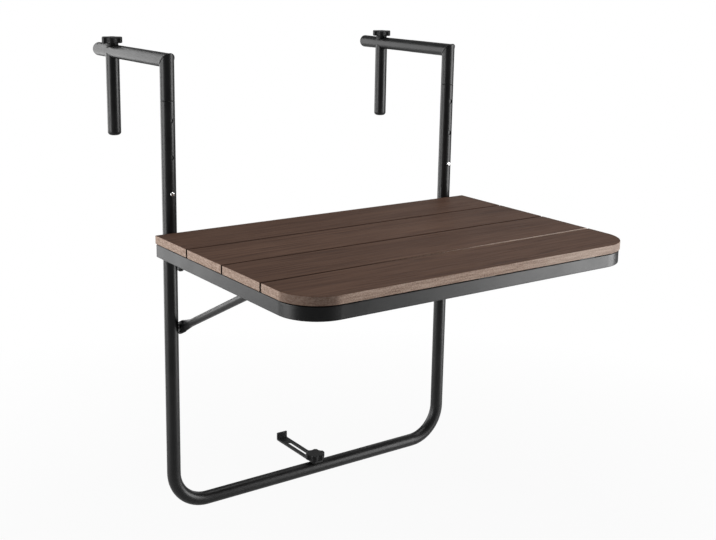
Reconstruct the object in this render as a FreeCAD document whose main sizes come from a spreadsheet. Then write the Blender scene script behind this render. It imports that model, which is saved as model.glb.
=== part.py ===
import math
import os

import FreeCAD
import Part
import Sketcher
from FreeCAD import Placement, Rotation, Vector

# Balcony railing bar table: a hook-on tube frame with a fold-down slatted top.
# Frame: X to the right, Y towards the railing, Z up. The origin is the railing seat:
# midway between the two hooks, on the rear faces of the uprights, under the arms.

SLATS = 4
HOLES = 3
BATTENS = (-1, 0, 1)

# Driving dimensions in millimetres and degrees
DIMENSIONS = {
    "tube_diameter": 22,
    "tube_wall": 1.2,
    "upright_spacing": 547,
    "arm_height": 262,
    "bar_drop": 460,
    "bend_radius": 59,
    "arm_reach": 256,
    "seam_drop": 60,
    "seam_round": 0.9,
    "hole_diameter": 7.6,
    "first_hole": 30,
    "hole_pitch": 56,
    "sleeve_gap": 0.3,
    "sleeve_wall": 1.2,
    "sleeve_above": 45,
    "sleeve_below": 25,
    "leg_reach": 198,
    "leg_drop": 138,
    "leg_forward": 90,
    "leg_back": 30,
    "cap_head": 6,
    "cap_depth": 14,
    "cap_round": 5.5,
    "cap_wall": 2,
    "plug_gap": 0.1,
    "saddle_gap": 0.3,
    "insert_depth": 30,
    "button_diameter": 7,
    "button_proud": 2.5,
    "button_round": 2,
    "flange_diameter": 9.2,
    "flange_thickness": 1,
    "flange_back": 6.5,
    "spring_width": 6,
    "spring_thickness": 0.8,
    "spring_length": 22,
    "spring_tail": 8,
    "spring_gap": 0.1,
    "knob_diameter": 35,
    "knob_height": 9.5,
    "knob_scoop": 7,
    "knob_scoop_out": 3.8,
    "knob_lobes": 6,
    "knob_turn": 36,
    "knob_corner": 2,
    "knob_round": 1.5,
    "neck_diameter": 15,
    "neck_height": 0.8,
    "stud_diameter": 6,
    "thread_gap": 0.05,
    "slot_gap": 0.4,
    "stud_in_knob": 8,
    "stud_end": 20,
    "clamp_washer_diameter": 20,
    "clamp_washer_height": 1.5,
    "table_width": 610,
    "slat_width": 100,
    "slat_gap": 4,
    "slat_thickness": 13,
    "slat_setback": 15,
    "slat_round": 1.2,
    "corner_radius": 60,
    "batten_thickness": 1.2,
    "batten_width": 30,
    "batten_spacing": 200,
    "rail_height": 20,
    "rail_width": 10,
    "rail_wall": 1.5,
    "rail_inset": 1.5,
    "rail_round": 1.4,
    "end_cap_head": 1.5,
    "end_cap_depth": 10,
    "screw_diameter": 4,
    "screw_head_diameter": 7.5,
    "screw_head_height": 2,
    "screw_depth": 9,
    "screw_inset": 26,
    "pivot_drop": 53,
    "ear_radius": 12,
    "ear_round": 11.4,
    "ear_top_drop": 17,
    "plate_thickness": 3,
    "plate_gap": 2,
    "spacer_radius": 6.5,
    "bolt_diameter": 6,
    "bolt_gap": 0.1,
    "bolt_head_diameter": 11,
    "bolt_head_height": 3.5,
    "bolt_head_round": 2.5,
    "bolt_play": 0.2,
    "bolt_reach": 12,
    "strut_drop": 159,
    "strut_angle": 26.8,
    "strut_diameter": 12,
    "strut_wall": 1.2,
    "strut_flat_width": 19,
    "strut_flat_length": 16,
    "strut_neck_length": 20,
    "strut_side_gap": 1,
    "pin_drop": 27,
    "pin_diameter": 6,
    "pin_head_diameter": 10,
    "pin_head_height": 2,
    "pin_gap": 0.3,
    "guide_gap": 4,
    "weld_gap": 0.2,
    "stabiliser_width": 20,
    "stabiliser_thickness": 3,
    "stabiliser_front": 12,
    "stabiliser_reach": 112,
    "stabiliser_lip": 14,
    "stabiliser_travel": 84,
    "stabiliser_slot": 7,
    "stabiliser_round": 3,
    "stabiliser_bend_round": 2.4,
    "stabiliser_washer_diameter": 18,
    "stabiliser_washer_height": 1,
    "rivet_barrel_diameter": 9,
    "rivet_barrel_length": 10,
    "rivet_flange_diameter": 12,
    "rivet_flange_height": 1,
    "rivet_gap": 0.05,
    "overcut": 1,
    "sink": 0.5,
}

# Sizes and places that follow from the driving dimensions
WORKED_OUT = {
    "tube_radius": "=dims.tube_diameter / 2",
    "bore_radius": "=tube_radius - dims.tube_wall",
    "sleeve_radius": "=bore_radius - dims.sleeve_gap",
    "sleeve_bore": "=sleeve_radius - dims.sleeve_wall",
    "plug_radius": "=bore_radius - dims.plug_gap",
    "saddle_radius": "=tube_radius + dims.saddle_gap",
    "upright_x": "=dims.upright_spacing / 2",
    "upright_y": "=-tube_radius",
    "upright_inner_x": "=upright_x - tube_radius",
    "arm_z": "=tube_radius",
    "arm_end_y": "=upright_y + dims.arm_reach - dims.cap_head",
    "seam_z": "=arm_z - dims.seam_drop",
    "top_hole_z": "=seam_z - dims.first_hole",
    "low_hole_z": "=top_hole_z - 2 * dims.hole_pitch",
    "sleeve_top_z": "=seam_z + dims.sleeve_above",
    "sleeve_low_z": "=low_hole_z - dims.sleeve_below",
    "button_tip_y": "=upright_y - tube_radius - dims.button_proud",
    "flange_front_y": "=upright_y - dims.flange_back",
    "flange_back_y": "=flange_front_y + dims.flange_thickness",
    "spring_back_y": "=upright_y + sqrt(sleeve_bore ^ 2 - (dims.spring_width / 2) ^ 2) - dims.spring_gap",
    "spring_bend": "=(spring_back_y - flange_back_y) / 2",
    "spring_middle_y": "=(spring_back_y + flange_back_y) / 2",
    "leg_y": "=upright_y + dims.leg_reach",
    "leg_low_z": "=arm_z - dims.leg_drop + dims.cap_head",
    "insert_low_z": "=-dims.insert_depth",
    "knob_radius": "=dims.knob_diameter / 2",
    "stud_radius": "=dims.stud_diameter / 2",
    "thread_radius": "=stud_radius + dims.thread_gap",
    "stud_slot_radius": "=stud_radius + dims.slot_gap",
    "clamp_seat_z": "=arm_z + tube_radius + dims.clamp_washer_height",
    "table_top_z": "=arm_z - dims.arm_height",
    "slat_low_z": "=table_top_z - dims.slat_thickness",
    "rail_top_z": "=slat_low_z - dims.batten_thickness",
    "rail_low_z": "=rail_top_z - dims.rail_height",
    "rail_middle_z": "=rail_top_z - dims.rail_height / 2",
    "slat_step": "=dims.slat_width + dims.slat_gap",
    "slat_back_y": "=upright_y - dims.slat_setback",
    "slat_front_y": f"=slat_back_y - {SLATS - 1} * slat_step - dims.slat_width",
    "rail_outer_x": "=dims.table_width / 2 - dims.rail_inset",
    "rail_inner_x": "=rail_outer_x - dims.rail_width",
    "rail_front_y": "=slat_front_y + dims.rail_inset",
    "rail_back_y": "=slat_back_y - dims.end_cap_head",
    "rail_bend": "=dims.corner_radius - dims.rail_inset - dims.rail_width / 2",
    "rail_bend_inner": "=rail_bend - dims.rail_width / 2",
    "rail_bend_x": "=rail_inner_x - rail_bend_inner",
    "rail_bend_y": "=rail_front_y + dims.rail_width + rail_bend_inner",
    "cross_front_y": "=slat_back_y - dims.rail_width",
    "screw_radius": "=dims.screw_diameter / 2",
    "pivot_z": "=table_top_z - dims.pivot_drop",
    "plate_outer_x": "=upright_inner_x - dims.plate_gap",
    "plate_inner_x": "=plate_outer_x - dims.plate_thickness",
    "bolt_radius": "=dims.bolt_diameter / 2",
    "bolt_head_x": "=plate_inner_x - dims.bolt_play",
    "strut_z": "=table_top_z - dims.strut_drop",
    "strut_radius": "=dims.strut_diameter / 2",
    "strut_x": "=upright_inner_x - dims.strut_side_gap - strut_radius",
    "strut_flat_radius": "=dims.strut_flat_width / 2",
    "strut_rise": "=dims.strut_drop - dims.pin_drop",
    "strut_length": "=strut_rise / sin(dims.strut_angle * 1 deg)",
    "strut_neck_start": "=dims.strut_flat_length",
    "strut_tube_start": "=strut_neck_start + dims.strut_neck_length",
    "strut_tube_length": "=strut_length - 2 * strut_tube_start",
    "pin_radius": "=dims.pin_diameter / 2",
    "pin_z": "=table_top_z - dims.pin_drop",
    "guide_x": "=plate_outer_x + dims.guide_gap",
    "guide_outer_x": "=guide_x + dims.plate_thickness",
    "guide_reach": "=sqrt(rail_bend_inner ^ 2 - (guide_outer_x - rail_bend_x) ^ 2)",
    "guide_front_y": "=rail_bend_y - guide_reach + dims.weld_gap",
    "guide_near": "=strut_rise / tan(dims.strut_angle * 1 deg)",
    "fold_offset": "=dims.pivot_drop - dims.pin_drop",
    "guide_far": "=dims.strut_drop - dims.pivot_drop + sqrt(strut_length ^ 2 - fold_offset ^ 2)",
    "bar_z": "=table_top_z - dims.bar_drop",
    "bar_top_z": "=bar_z + tube_radius",
    "rivet_skirt": "=dims.rivet_flange_diameter / 4",
    "rivet_hole_radius": "=dims.rivet_barrel_diameter / 2 + dims.rivet_gap",
    "stabiliser_low_z": "=bar_top_z + dims.rivet_flange_height",
    "stabiliser_top_z": "=stabiliser_low_z + dims.stabiliser_thickness",
    "stabiliser_seat_z": "=stabiliser_top_z + dims.stabiliser_washer_height",
    "stabiliser_back_y": "=upright_y + dims.stabiliser_reach",
    "stabiliser_front_y": "=upright_y - dims.stabiliser_front",
}

# Lengths in millimetres that tell a flat box from a long one when edges are chosen
FLAT = 0.01
LONG = 1
ALONG = {
    "x": Rotation(Vector(0, 1, 0), 90),
    "y": Rotation(Vector(1, 0, 0), -90),
    "z": Rotation(),
}
PLANES = {"xy": "XY_Plane", "xz": "XZ_Plane", "yz": "YZ_Plane"}

doc = FreeCAD.newDocument("railing_table")
nodes = []


def make_sheet(name, cells):
    """A sheet with one named cell to a row."""
    sheet = doc.addObject("Spreadsheet::Sheet", name)
    for row, (alias, content) in enumerate(cells.items(), start=1):
        sheet.set(f"A{row}", alias)
        sheet.set(f"B{row}", str(content))
        sheet.setAlias(f"B{row}", alias)
    doc.recompute()
    return sheet


dims = make_sheet("dims", DIMENSIONS)
fit = make_sheet("fit", WORKED_OUT)


def number(formula):
    """The present value of a formula."""
    value = fit.evalExpression(formula)
    return float(getattr(value, "Value", value))


def keep(item, label):
    """Name a finished sub-part, whose shape is written to a file of that name."""
    item.Label = label
    nodes.append(item)
    return item


def put(item, base, turn=Rotation()):
    """Place an object by three formulas, turned by a fixed rotation."""
    item.Placement = Placement(Vector(), turn)
    for axis, formula in zip("xyz", base):
        item.setExpression(f"Placement.Base.{axis}", str(formula))


def new_body(name):
    return doc.addObject("PartDesign::Body", name)


def add(owner, kind, name, sizes, base, turn=Rotation()):
    """A primitive of a body, or of the document, with each size bound to a formula."""
    item = owner.newObject(f"PartDesign::{kind}", name) if owner else doc.addObject(f"Part::{kind}", name)
    for size, formula in sizes.items():
        item.setExpression(size, str(formula))
    put(item, base, turn)
    return item


def rod(owner, name, radius, length, base, along="z", kind="Additive"):
    """A cylinder from its base centre along an axis."""
    kind = f"{kind}Cylinder" if owner else "Cylinder"
    return add(owner, kind, name, {"Radius": radius, "Height": length}, base, ALONG[along])


def block(owner, name, size, base, kind="Additive"):
    """A box from its lowest corner."""
    kind = f"{kind}Box" if owner else "Box"
    sizes = dict(zip(("Length", "Width", "Height"), size))
    return add(owner, kind, name, sizes, base)


def bore(body, name, radius, length, base, along="z"):
    return rod(body, name, radius, length, base, along, "Subtractive")


def pocket(body, name, size, base):
    return block(body, name, size, base, "Subtractive")


def slot(body, name, radius, across, start, end, low, depth):
    """A through slot along Y, with round ends, cut upwards from a level."""
    corner = (f"{across} - {radius}", start, low)
    pocket(body, f"{name}_run", (f"2 * {radius}", f"{end} - ({start})", depth), corner)
    for tag, middle in (("start", start), ("end", end)):
        bore(body, f"{name}_{tag}", radius, depth, (across, middle, low))


def new_sketch(body, name, plane, offset):
    """A sketch on one of the body's own planes, moved along the plane's normal."""
    sketch = body.newObject("Sketcher::SketchObject", name)
    role = PLANES[plane]
    support = [item for item in body.Origin.OriginFeatures if item.Role == role]
    sketch.AttachmentSupport = [(support[0], "")]
    sketch.MapMode = "FlatFace"
    sketch.setExpression("AttachmentOffset.Base.z", str(offset))
    return sketch


def bind(sketch, constraint, name, formula):
    """Add a constraint and hold its value to a formula."""
    index = sketch.addConstraint(constraint)
    sketch.renameConstraint(index, name)
    sketch.setExpression(f"Constraints.{name}", str(formula))


def hold_point(sketch, edge, end, name, across, up):
    """Hold one end of a sketch edge at two formulas."""
    bind(sketch, Sketcher.Constraint("DistanceX", -1, 1, edge, end, number(across)), f"{name}_across", across)
    bind(sketch, Sketcher.Constraint("DistanceY", -1, 1, edge, end, number(up)), f"{name}_up", up)


def polygon(sketch, name, corners):
    """A closed outline through corners, each given by two formulas."""
    spots = [Vector(number(across), number(up), 0) for across, up in corners]
    edges = [sketch.addGeometry(Part.LineSegment(a, b)) for a, b in zip(spots, spots[1:] + spots[:1])]
    for edge, after in zip(edges, edges[1:] + edges[:1]):
        sketch.addConstraint(Sketcher.Constraint("Coincident", edge, 2, after, 1))
    for index, (edge, corner) in enumerate(zip(edges, corners)):
        hold_point(sketch, edge, 1, f"{name}_{index}", *corner)


def ring(sketch, name, radius, across, up):
    """A circle held by its radius and centre."""
    circle = Part.Circle(Vector(number(across), number(up), 0), Vector(0, 0, 1), number(radius))
    edge = sketch.addGeometry(circle)
    bind(sketch, Sketcher.Constraint("Radius", edge, number(radius)), f"{name}_radius", radius)
    hold_point(sketch, edge, 3, name, across, up)


def u_path(sketch, half, ends, floor, bend):
    """A U: two runs down from the ends, tangent bends, and a run across the floor."""
    side, top, low, radius = number(half), number(ends), number(floor), number(bend)
    normal = Vector(0, 0, 1)
    right_bend = Part.Circle(Vector(side - radius, low + radius, 0), normal, radius)
    left_bend = Part.Circle(Vector(radius - side, low + radius, 0), normal, radius)
    quarter = math.pi / 2
    runs = (
        Part.LineSegment(Vector(side, top, 0), Vector(side, low + radius, 0)),
        Part.ArcOfCircle(right_bend, -quarter, 0),
        Part.LineSegment(Vector(side - radius, low, 0), Vector(radius - side, low, 0)),
        Part.ArcOfCircle(left_bend, 2 * quarter, 3 * quarter),
        Part.LineSegment(Vector(-side, low + radius, 0), Vector(-side, top, 0)),
    )
    right, right_arc, base, left_arc, left = [sketch.addGeometry(run) for run in runs]
    joins = (
        (right, 2, right_arc, 2),
        (right_arc, 1, base, 1),
        (base, 2, left_arc, 2),
        (left_arc, 1, left, 1),
    )
    for join in joins:
        sketch.addConstraint(Sketcher.Constraint("Tangent", *join))
    for upright in (right, left):
        sketch.addConstraint(Sketcher.Constraint("Vertical", upright))
    sketch.addConstraint(Sketcher.Constraint("Equal", right_arc, left_arc))
    bind(sketch, Sketcher.Constraint("Radius", right_arc, radius), "bend", bend)
    hold_point(sketch, right, 1, "right_end", half, ends)
    hold_point(sketch, left, 2, "left_end", f"-({half})", ends)
    bind(sketch, Sketcher.Constraint("DistanceY", -1, 1, base, 1, low), "floor", floor)


def pipe(body, name, profile, path, transition="Transformed"):
    """Sweep a profile along every edge of a path."""
    doc.recompute()
    sweep = body.newObject("PartDesign::AdditivePipe", name)
    sweep.Profile = profile
    sweep.Spine = (path, [f"Edge{index + 1}" for index in range(len(path.Shape.Edges))])
    sweep.Transition = transition
    doc.recompute()
    return sweep


def round_edges(body, name, radius, chosen, kind="Fillet"):
    """Round the body's edges that a test on their boxes chooses."""
    doc.recompute()
    names = [f"Edge{i + 1}" for i, edge in enumerate(body.Shape.Edges) if chosen(edge.BoundBox)]
    before = body.Tip
    feature = body.newObject(f"PartDesign::{kind}", name)
    feature.Base = (before, names)
    feature.setExpression("Radius", str(radius))
    doc.recompute()
    return feature


def near(value, formula):
    """Whether a measure agrees with a formula."""
    return abs(value - number(formula)) < FLAT


def round_seam(body):
    """Round the outer edge of a tube's end where upright and hook meet."""
    round_edges(body, "seam_edge", "dims.seam_round", lambda box: box.ZLength < FLAT and (
        near(box.ZMin, "fit.seam_z")) and near(box.YLength, "dims.tube_diameter"))


def mirror(source, label):
    """The same sub-part on the other side of the middle plane."""
    other = doc.addObject("Part::Mirroring", label)
    other.Source = source
    other.Normal = Vector(1, 0, 0)
    return other


def keep_pair(source, name):
    """Keep a right-hand sub-part and its left-hand mirror image as two nodes."""
    keep(source, f"right_{name}")
    keep(mirror(source, f"left_{name}"), f"left_{name}")


def keep_both(source, name):
    """Keep a right-hand piece and its mirror image as one group of two solids."""
    group = doc.addObject("Part::Compound", name)
    group.Links = [source, mirror(source, f"{name}_left")]
    keep(group, name)


# Frame of bent tube
def make_u_frame():
    body = new_body("u_frame")
    path = new_sketch(body, "frame_path", "xz", "-fit.upright_y")
    u_path(path, "fit.upright_x", "fit.seam_z", "fit.bar_z", "dims.bend_radius")
    profile = new_sketch(body, "frame_profile", "xy", "fit.seam_z")
    ring(profile, "outside", "fit.tube_radius", "fit.upright_x", "fit.upright_y")
    ring(profile, "inside", "fit.bore_radius", "fit.upright_x", "fit.upright_y")
    pipe(body, "frame_tube", profile, path)
    round_seam(body)
    sides = (("left", "-1", "-fit.upright_x"), ("right", "1", "fit.upright_x - dims.tube_diameter"))
    for side, sign, inboard in sides:
        for row in range(HOLES):
            level = f"fit.top_hole_z - {row} * dims.hole_pitch"
            base = (f"{sign} * fit.upright_x", "fit.upright_y - dims.tube_diameter", level)
            bore(body, f"{side}_height_hole_{row}", "dims.hole_diameter / 2", "dims.tube_diameter", base, "y")
        for tag, level in (("pivot", "fit.pivot_z"), ("strut", "fit.strut_z")):
            bore(body, f"{side}_{tag}_hole", "fit.rivet_hole_radius", "dims.tube_diameter",
                 (inboard, "fit.upright_y", level), "x")
    bore(body, "rivet_hole", "fit.rivet_hole_radius", "dims.tube_diameter", (0, "fit.upright_y", "fit.bar_z"))
    keep(body, "u_frame")


# Threaded insert in the bottom bar
def make_rivet_nut():
    body = new_body("rivet_nut")
    rod(body, "flange", "dims.rivet_flange_diameter / 2", "dims.rivet_flange_height + fit.rivet_skirt",
        (0, "fit.upright_y", "fit.bar_top_z - fit.rivet_skirt"))
    tube_base = ("-dims.tube_diameter", "fit.upright_y", "fit.bar_z")
    bore(body, "tube_seat", "fit.tube_radius + dims.rivet_gap", "2 * dims.tube_diameter", tube_base, "x")
    barrel_low = "fit.bar_top_z - dims.rivet_barrel_length"
    barrel_height = "dims.rivet_barrel_length + dims.rivet_flange_height"
    rod(body, "barrel", "dims.rivet_barrel_diameter / 2", barrel_height, (0, "fit.upright_y", barrel_low))
    bore(body, "thread", "fit.thread_radius", f"2 * ({barrel_height})",
         (0, "fit.upright_y", f"{barrel_low} - dims.overcut"))
    keep(body, "rivet_nut")


# Bolts, rivet nuts and spacers of one pair of pivots, on the inner faces of the uprights
def make_pivot_fasteners(name, level):
    bolt = new_body(f"{name}_bolt")
    head_end = "fit.bolt_head_x - dims.bolt_head_height"
    rod(bolt, "head", "dims.bolt_head_diameter / 2", "dims.bolt_head_height",
        (head_end, "fit.upright_y", level), "x")
    round_edges(bolt, "head_round", "dims.bolt_head_round",
                lambda box: near(box.XMin, head_end) and box.XLength < FLAT)
    rod(bolt, "shank", "fit.bolt_radius", "fit.upright_inner_x + dims.bolt_reach - fit.bolt_head_x",
        ("fit.bolt_head_x", "fit.upright_y", level), "x")
    keep_both(bolt, f"{name}_bolts")

    nut = new_body(f"{name}_nut")
    flange_start = "fit.upright_inner_x - dims.rivet_flange_height"
    rod(nut, "flange", "dims.rivet_flange_diameter / 2", "dims.rivet_flange_height + fit.rivet_skirt",
        (flange_start, "fit.upright_y", level), "x")
    bore(nut, "tube_seat", "fit.tube_radius + dims.rivet_gap", "2 * dims.tube_diameter",
         ("fit.upright_x", "fit.upright_y", f"{level} - dims.tube_diameter"))
    barrel_length = "dims.rivet_flange_height + dims.rivet_barrel_length"
    rod(nut, "barrel", "dims.rivet_barrel_diameter / 2", barrel_length,
        (flange_start, "fit.upright_y", level), "x")
    bore(nut, "thread", "fit.bolt_radius + dims.thread_gap", f"2 * ({barrel_length})",
         (f"{flange_start} - dims.overcut", "fit.upright_y", level), "x")
    keep_both(nut, f"{name}_nuts")

    spacer = new_body(f"{name}_spacer")
    rod(spacer, "ring", "dims.spacer_radius", "dims.plate_gap - dims.rivet_flange_height",
        ("fit.plate_outer_x", "fit.upright_y", level), "x")
    bore(spacer, "bolt_hole", "fit.bolt_radius + dims.bolt_gap", "dims.plate_gap",
         ("fit.plate_outer_x", "fit.upright_y", level), "x")
    keep_both(spacer, f"{name}_spacers")


# Table rail bent from flat tube
def make_table_rail():
    body = new_body("table_rail")
    path = new_sketch(body, "rail_path", "xy", "fit.rail_middle_z")
    side = "fit.rail_outer_x - dims.rail_width / 2"
    u_path(path, side, "fit.rail_back_y", "fit.rail_front_y + dims.rail_width / 2", "fit.rail_bend")
    profile = new_sketch(body, "rail_profile", "xz", "-fit.rail_back_y")
    for tag, wall in (("outside", "0"), ("inside", "dims.rail_wall")):
        left, right = f"fit.rail_inner_x + {wall}", f"fit.rail_outer_x - {wall}"
        low, high = f"fit.rail_low_z + {wall}", f"fit.rail_top_z - {wall}"
        polygon(profile, tag, ((left, low), (right, low), (right, high), (left, high)))
    pipe(body, "rail_tube", profile, path)
    round_edges(body, "rail_edges", "dims.rail_round", lambda box: box.ZLength < FLAT and (
        near(box.ZMin, "fit.rail_top_z") or near(box.ZMin, "fit.rail_low_z")) and box.YMin < (
        number("fit.rail_back_y") - LONG))
    keep(body, "table_rail")


# Cross bar between the rear ends of the rail
def make_rear_cross_bar():
    body = new_body("rear_cross_bar")
    length = "2 * fit.rail_inner_x"
    block(body, "outside", (length, "dims.rail_width", "dims.rail_height"),
          ("-fit.rail_inner_x", "fit.cross_front_y", "fit.rail_low_z"))
    inner = ("dims.rail_width - 2 * dims.rail_wall", "dims.rail_height - 2 * dims.rail_wall")
    pocket(body, "inside", (length, *inner),
           ("-fit.rail_inner_x", "fit.cross_front_y + dims.rail_wall", "fit.rail_low_z + dims.rail_wall"))
    faces = ("fit.rail_top_z", "fit.rail_low_z")
    round_edges(body, "bar_edges", "dims.rail_round", lambda box: box.ZLength < FLAT and (
        box.XLength > LONG) and any(near(box.ZMin, face) for face in faces))
    keep(body, "rear_cross_bar")


# Plugs in the rear ends of the rail
def make_rail_end_cap():
    body = new_body("rail_end_cap")
    block(body, "head", ("dims.rail_width", "dims.end_cap_head", "dims.rail_height"),
          ("fit.rail_inner_x", "fit.rail_back_y", "fit.rail_low_z"))
    round_edges(body, "head_corners", "dims.rail_round", lambda box: box.YLength > LONG)
    margin = "dims.rail_wall + dims.plug_gap"
    plug_size = (
        f"dims.rail_width - 2 * ({margin})",
        "dims.end_cap_depth + dims.sink",
        f"dims.rail_height - 2 * ({margin})",
    )
    plug_corner = (
        f"fit.rail_inner_x + {margin}",
        "fit.rail_back_y - dims.end_cap_depth",
        f"fit.rail_low_z + {margin}",
    )
    block(body, "plug", plug_size, plug_corner)
    keep_both(body, "rail_end_caps")


def screw_places():
    """The level spots of the slat screws: two to each slat at each batten."""
    for slat in range(SLATS):
        back = f"fit.slat_back_y - {slat} * fit.slat_step"
        for batten in BATTENS:
            across = f"{batten} * dims.batten_spacing"
            yield slat, across, f"{back} - dims.screw_inset"
            yield slat, across, f"{back} - dims.slat_width + dims.screw_inset"


# Slats, numbered from the railing side
def make_slat(index):
    body = new_body(f"slat_{index + 1}")
    front = f"fit.slat_back_y - {index} * fit.slat_step - dims.slat_width"
    block(body, "board", ("dims.table_width", "dims.slat_width", "dims.slat_thickness"),
          ("-dims.table_width / 2", front, "fit.slat_low_z"))
    if index == SLATS - 1:
        round_edges(body, "front_corners", "dims.corner_radius",
                    lambda box: box.ZLength > LONG and near(box.YMin, front))
    faces = ("fit.table_top_z", "fit.slat_low_z")
    round_edges(body, "slat_edges", "dims.slat_round",
                lambda box: box.ZLength < FLAT and any(near(box.ZMin, face) for face in faces))
    spots = [(across, along) for slat, across, along in screw_places() if slat == index]
    for number_of_hole, (across, along) in enumerate(spots):
        bore(body, f"pilot_hole_{number_of_hole}", "fit.screw_radius + dims.thread_gap",
             "dims.screw_depth + dims.overcut", (across, along, "fit.slat_low_z - dims.sink"))
    keep(body, f"slat_{index + 1}")


# Flat steel strips that carry the slats
def make_battens():
    body = new_body("slat_battens")
    body.AllowCompound = True
    length = "fit.slat_back_y - fit.rail_front_y"
    for count, batten in enumerate(BATTENS):
        side = f"{batten} * dims.batten_spacing - dims.batten_width / 2"
        block(body, f"strip_{count}", ("dims.batten_width", length, "dims.batten_thickness"),
              (side, "fit.rail_front_y", "fit.rail_top_z"))
    for number_of_hole, (slat, across, along) in enumerate(screw_places()):
        bore(body, f"screw_hole_{number_of_hole}", "fit.screw_radius + dims.thread_gap",
             "3 * dims.batten_thickness", (across, along, "fit.rail_top_z - dims.batten_thickness"))
    keep(body, "slat_battens")


# Screws from below through the strips into the slats
def make_slat_screws():
    body = new_body("slat_screws")
    body.AllowCompound = True
    for count, (slat, across, along) in enumerate(screw_places()):
        head_low = "fit.rail_top_z - dims.screw_head_height"
        rod(body, f"head_{count}", "dims.screw_head_diameter / 2", "dims.screw_head_height",
            (across, along, head_low))
        shank = "dims.screw_head_height + dims.batten_thickness + dims.screw_depth"
        rod(body, f"shank_{count}", "fit.screw_radius", shank, (across, along, head_low))
    keep(body, "slat_screws")


# Ear plate that hangs the top from its pivot bolt
def make_pivot_ear():
    body = new_body("right_pivot_ear")
    outline = new_sketch(body, "ear_outline", "yz", "fit.plate_inner_x")
    back = "fit.upright_y + dims.ear_radius"
    front = "fit.upright_y - dims.ear_radius"
    low = "fit.pivot_z - dims.ear_radius"
    top = "fit.table_top_z - dims.ear_top_drop"
    polygon(outline, "ear", (
        ("fit.cross_front_y", "fit.rail_low_z"),
        ("fit.slat_back_y", "fit.rail_low_z"),
        ("fit.slat_back_y", top),
        ("fit.slat_back_y + dims.ear_radius / 2", top),
        (back, "fit.pivot_z + dims.ear_radius / 2"),
        (back, low),
        (front, low),
        ("fit.cross_front_y", "fit.rail_low_z - dims.ear_radius / 2"),
    ))
    doc.recompute()
    plate = body.newObject("PartDesign::Pad", "ear_plate")
    plate.Profile = outline
    plate.setExpression("Length", "dims.plate_thickness")
    round_edges(body, "eye_corners", "dims.ear_round",
                lambda box: box.XLength > LONG and near(box.ZMin, low))
    round_edges(body, "back_corner", "dims.ear_radius / 2",
                lambda box: box.XLength > LONG and near(box.YMin, back) and box.YLength < FLAT and (
                    box.ZLength < FLAT))
    bore(body, "bolt_hole", "fit.bolt_radius + dims.thread_gap", "2 * dims.plate_thickness",
         ("fit.plate_inner_x - dims.overcut", "fit.upright_y", "fit.pivot_z"), "x")
    keep_pair(body, "pivot_ear")


# Slotted bar under the top that the upper strut pin runs along
def make_strut_guide():
    body = new_body("right_strut_guide")
    block(body, "bar", ("dims.plate_thickness", "fit.cross_front_y - fit.guide_front_y", "dims.rail_height"),
          ("fit.guide_x", "fit.guide_front_y", "fit.rail_low_z"))
    radius = "(fit.pin_radius + dims.pin_gap)"
    far, close = "fit.upright_y - fit.guide_far", "fit.upright_y - fit.guide_near"
    depth = "2 * dims.plate_thickness"
    pocket(body, "slot_run", (depth, "fit.guide_far - fit.guide_near", f"2 * {radius}"),
           ("fit.guide_x - dims.overcut", far, f"fit.pin_z - {radius}"))
    for tag, middle in (("far", far), ("close", close)):
        bore(body, f"slot_{tag}", radius, depth, ("fit.guide_x - dims.overcut", middle, "fit.pin_z"), "x")
    keep_pair(body, "strut_guide")


def lean(item):
    """Lay a strut sub-part, drawn along -Y from its lower pivot, at its rest angle."""
    item.Placement = Placement(Vector(), Rotation(Vector(-1, 0, 0), 1))
    item.setExpression("Placement.Base.y", "fit.upright_y")
    item.setExpression("Placement.Base.z", "fit.strut_z")
    item.setExpression("Placement.Rotation.Angle", "dims.strut_angle")


def strut_neck(name, flat_end, tube_end):
    """The stretch where the round tube is pressed flat."""
    lying = Rotation(Vector(1, 0, 0), 90)
    circle = add(None, "Circle", f"{name}_round", {"Radius": "fit.strut_radius"},
                 ("fit.strut_x", tube_end, 0), lying)
    sizes = {"MajorRadius": "fit.strut_flat_radius", "MinorRadius": "dims.plate_thickness / 2"}
    standing = lying.multiply(Rotation(Vector(0, 0, 1), 90))
    ellipse = add(None, "Ellipse", f"{name}_flat", sizes,
                  ("fit.plate_inner_x + dims.plate_thickness / 2", flat_end, 0), standing)
    neck = doc.addObject("Part::Loft", name)
    neck.Sections = [circle, ellipse]
    neck.Solid = True
    return neck


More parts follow.
